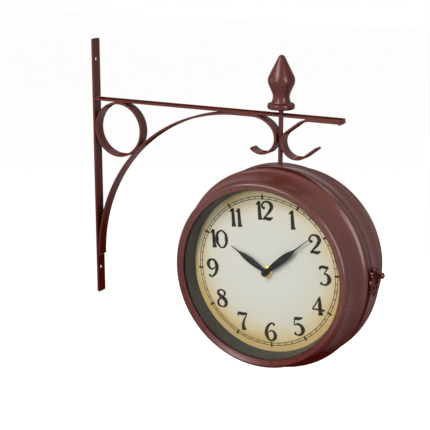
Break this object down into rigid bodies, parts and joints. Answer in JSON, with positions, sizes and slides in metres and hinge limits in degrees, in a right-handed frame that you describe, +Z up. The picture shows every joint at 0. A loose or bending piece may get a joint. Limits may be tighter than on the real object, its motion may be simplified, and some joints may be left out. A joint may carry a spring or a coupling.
{
  "type": "double sided station clock",
  "caption": "Round two-faced clock hung by a rod under a scrolled wall bracket; front case half hinges open behind a clasp.",
  "frame": {"origin": "on the wall plane, half way between the two screw holes of the wall bar", "axes": "+X out of the wall along the arm, +Y along the wall towards the rear dial, +Z up; the front dial faces -Y"},
  "size_m": [0.3526, 0.1, 0.3403],
  "materials": {
    "paint": "gloss",
    "zinc": "satin",
    "brass": "satin",
    "glass": "gloss",
    "dark_trim": "matt",
    "dial_print": "satin",
    "black_plastic": "matt",
    "white_plastic": "gloss",
    "black_enamel": "satin",
    "cell_jacket": "satin"
  },
  "bodies": {
    "bracket_and_rear_case": {"arm_bar": "paint", "brace_scroll": "paint", "centre_hoop": "paint", "clasp_base": "paint", "clasp_screw": "paint", "corner_ring": "paint", "finial": "paint", "hanger_rod": "paint", "hinge_leaf_fixed": "paint", "hinge_pin": "zinc", "outer_scroll": "paint", "rod_nut": "zinc", "rod_washer": "zinc", "wall_bar": "paint", "weld_beads": "paint", "rear_shell": "paint", "rear_glass": "glass", "rear_reveal_ring": "dark_trim", "rear_dial": "dial_print", "rear_dial_pan": "zinc", "rear_pan_clips": "zinc", "rear_movement": "black_plastic", "rear_dial_nut": "brass", "rear_battery": "cell_jacket", "rear_battery_contacts": "zinc"},
    "front_cover": {"front_shell": "paint", "hinge_leaf_moving": "paint", "clasp_keeper": "paint", "front_glass": "glass", "front_reveal_ring": "dark_trim", "front_dial": "dial_print", "front_dial_pan": "zinc", "front_pan_clips": "zinc", "front_movement": "black_plastic", "front_dial_nut": "brass", "front_battery": "cell_jacket", "front_battery_contacts": "zinc"},
    "clasp_lever": {"clasp_lever": "paint", "clasp_thumb_knob": "paint"},
    "front_minute_hand": {"front_minute_arbor": "brass", "front_minute_hand": "black_enamel", "front_cap_nut": "black_enamel"},
    "front_hour_hand": {"front_hour_pipe": "white_plastic", "front_hour_hand": "black_enamel"},
    "front_set_knob": {"front_set_knob": "white_plastic"},
    "rear_minute_hand": {"rear_minute_arbor": "brass", "rear_minute_hand": "black_enamel", "rear_cap_nut": "black_enamel"},
    "rear_hour_hand": {"rear_hour_pipe": "white_plastic", "rear_hour_hand": "black_enamel"},
    "rear_set_knob": {"rear_set_knob": "white_plastic"}
  },
  "joints": [
    {"name": "cover_hinge", "type": "hinge", "parent": "bracket_and_rear_case", "child": "front_cover", "pos_m": [0.123, -0.00445, -0.086], "axis": [0, 0, -1], "range_deg": [0, 95]},
    {"name": "clasp_pivot", "type": "hinge", "parent": "bracket_and_rear_case", "child": "clasp_lever", "pos_m": [0.3448, 0.002, -0.086], "axis": [-1, 0, 0], "range_deg": [0, 90]},
    {"name": "front_minute", "type": "hinge", "parent": "front_cover", "child": "front_minute_hand", "pos_m": [0.2345, -0.03, -0.086], "axis": [0, 1, 0], "continuous": true},
    {"name": "front_hour", "type": "hinge", "parent": "front_cover", "child": "front_hour_hand", "pos_m": [0.2345, -0.03, -0.086], "axis": [0, 1, 0], "continuous": true},
    {"name": "front_setting", "type": "hinge", "parent": "front_cover", "child": "front_set_knob", "pos_m": [0.2455, -0.01, -0.074], "axis": [0, 1, 0], "continuous": true},
    {"name": "rear_minute", "type": "hinge", "parent": "bracket_and_rear_case", "child": "rear_minute_hand", "pos_m": [0.2345, 0.03, -0.086], "axis": [0, -1, 0], "continuous": true},
    {"name": "rear_hour", "type": "hinge", "parent": "bracket_and_rear_case", "child": "rear_hour_hand", "pos_m": [0.2345, 0.03, -0.086], "axis": [0, -1, 0], "continuous": true},
    {"name": "rear_setting", "type": "hinge", "parent": "bracket_and_rear_case", "child": "rear_set_knob", "pos_m": [0.2235, 0.01, -0.074], "axis": [0, -1, 0], "continuous": true}
  ],
  "couplings": [
    {"joint": "front_hour", "follows": "front_minute", "ratio": 0.083333},
    {"joint": "front_setting", "follows": "front_minute", "ratio": -0.33333},
    {"joint": "rear_hour", "follows": "rear_minute", "ratio": 0.083333},
    {"joint": "rear_setting", "follows": "rear_minute", "ratio": -0.33333}
  ]
}
